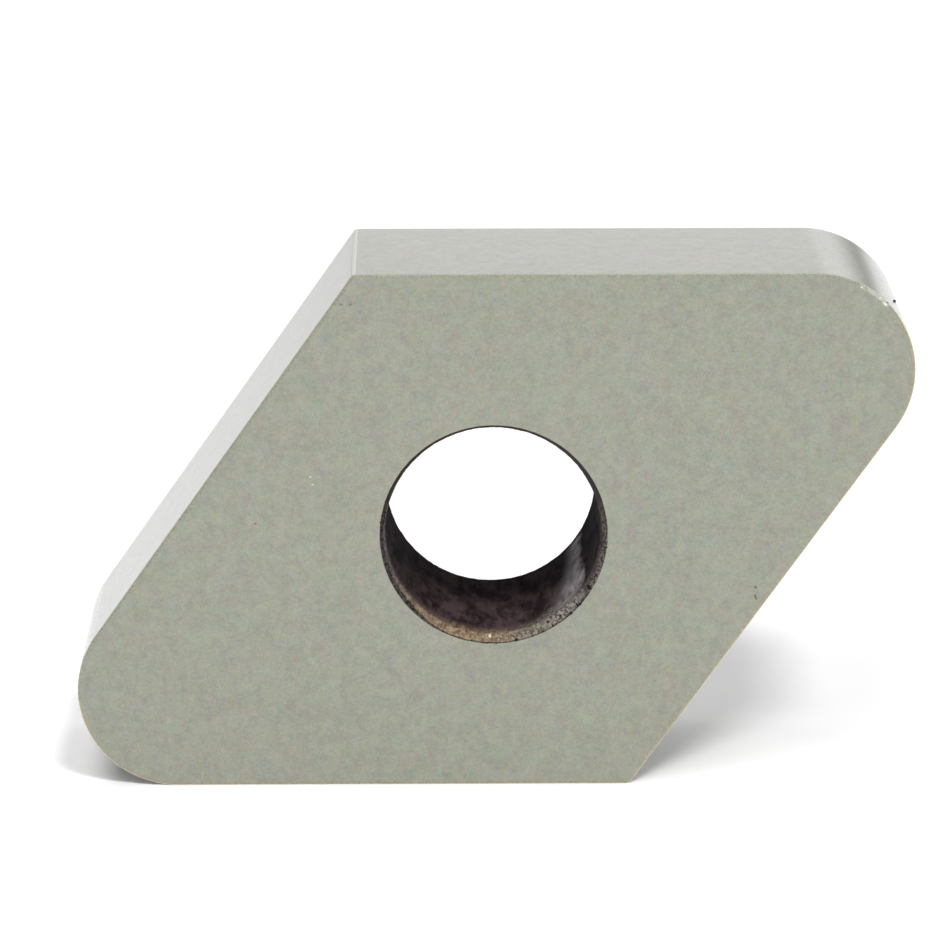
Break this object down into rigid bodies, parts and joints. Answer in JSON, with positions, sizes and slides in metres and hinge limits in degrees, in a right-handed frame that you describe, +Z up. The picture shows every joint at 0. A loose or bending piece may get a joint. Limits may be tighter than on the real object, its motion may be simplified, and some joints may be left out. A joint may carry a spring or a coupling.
{
  "type": "ceramic turning insert",
  "caption": "Negative rhombic ceramic turning insert, 55 degree noses with a large radius, plain faces and a round pin hole.",
  "frame": {"origin": "centre of the hole, halfway through the thickness", "axes": "+Y along the hole from the front face to the rear face, +X along the flank it stands on, +Z up"},
  "size_m": [0.02, 0.0048, 0.0126],
  "materials": {
    "ceramic_body": "ground whisker-reinforced alumina, grey-green, matte"
  },
  "bodies": {
    "root": {"insert": "ceramic_body"}
  },
  "joints": []
}
